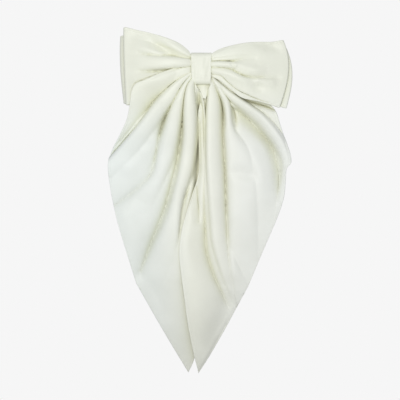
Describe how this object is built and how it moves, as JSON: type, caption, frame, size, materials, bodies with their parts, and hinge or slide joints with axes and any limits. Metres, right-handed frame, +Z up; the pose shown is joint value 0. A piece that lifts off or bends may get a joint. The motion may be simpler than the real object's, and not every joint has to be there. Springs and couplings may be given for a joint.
{
  "type": "hair bow",
  "caption": "Satin hair bow with stacked pleated loops, a wrapped knot and long pointed tails, sewn round a sprung clasp barrette.",
  "frame": {"origin": "middle of the closed clasp arm's back face, the flat that rests on the head, behind the knot's centre", "axes": "+Z up along the tails towards the knot, +Y towards the head, so the bow's front faces -Y, and +X to the right as seen from the front, towards the clasp's hinge"},
  "size_m": [0.1768, 0.0346, 0.3284],
  "materials": {
    "satin": "soft satin sheen",
    "thread": "matt cotton",
    "steel": "nickel plated"
  },
  "bodies": {
    "bow_body": {"front_bow": "satin", "back_bow": "satin", "knot_band": "satin", "cinch_thread": "thread", "band_seam_thread": "thread", "barrette_plate": "steel", "hinge_pin": "steel", "catch_plate": "steel", "catch_rivet": "steel"},
    "left_tail_body": {"left_tail": "satin"},
    "right_tail_body": {"right_tail": "satin"},
    "clasp_arm_body": {"clasp_arm": "steel"},
    "tension_spring_body": {"tension_spring": "steel"},
    "upper_catch_tab_body": {"upper_catch_tab": "steel"},
    "lower_catch_tab_body": {"lower_catch_tab": "steel"}
  },
  "joints": [
    {"name": "clasp_hinge", "type": "hinge", "parent": "bow_body", "child": "clasp_arm_body", "pos_m": [0.038, -0.002, 0], "axis": [0, 0, -1], "range_deg": [0, 70]},
    {"name": "spring_flex", "type": "hinge", "parent": "bow_body", "child": "tension_spring_body", "pos_m": [0.038, -0.002, 0], "axis": [0, 0, -1], "range_deg": [0, 10]},
    {"name": "upper_tab_pinch", "type": "hinge", "parent": "bow_body", "child": "upper_catch_tab_body", "pos_m": [-0.0378, -0.0045, 0.0022], "axis": [-1, 0, 0], "range_deg": [0, 8]},
    {"name": "lower_tab_pinch", "type": "hinge", "parent": "bow_body", "child": "lower_catch_tab_body", "pos_m": [-0.0378, -0.0045, -0.0022], "axis": [1, 0, 0], "range_deg": [0, 8]},
    {"name": "left_tail_sway", "type": "hinge", "parent": "bow_body", "child": "left_tail_body", "pos_m": [-0.008, -0.0305, -0.008], "axis": [0, 1, 0], "range_deg": [-3, 14]},
    {"name": "right_tail_sway", "type": "hinge", "parent": "bow_body", "child": "right_tail_body", "pos_m": [0.008, -0.0209, -0.008], "axis": [0, -1, 0], "range_deg": [-3, 14]}
  ],
  "couplings": [
    {"joint": "spring_flex", "follows": "clasp_hinge", "ratio": 0.1428}
  ]
}
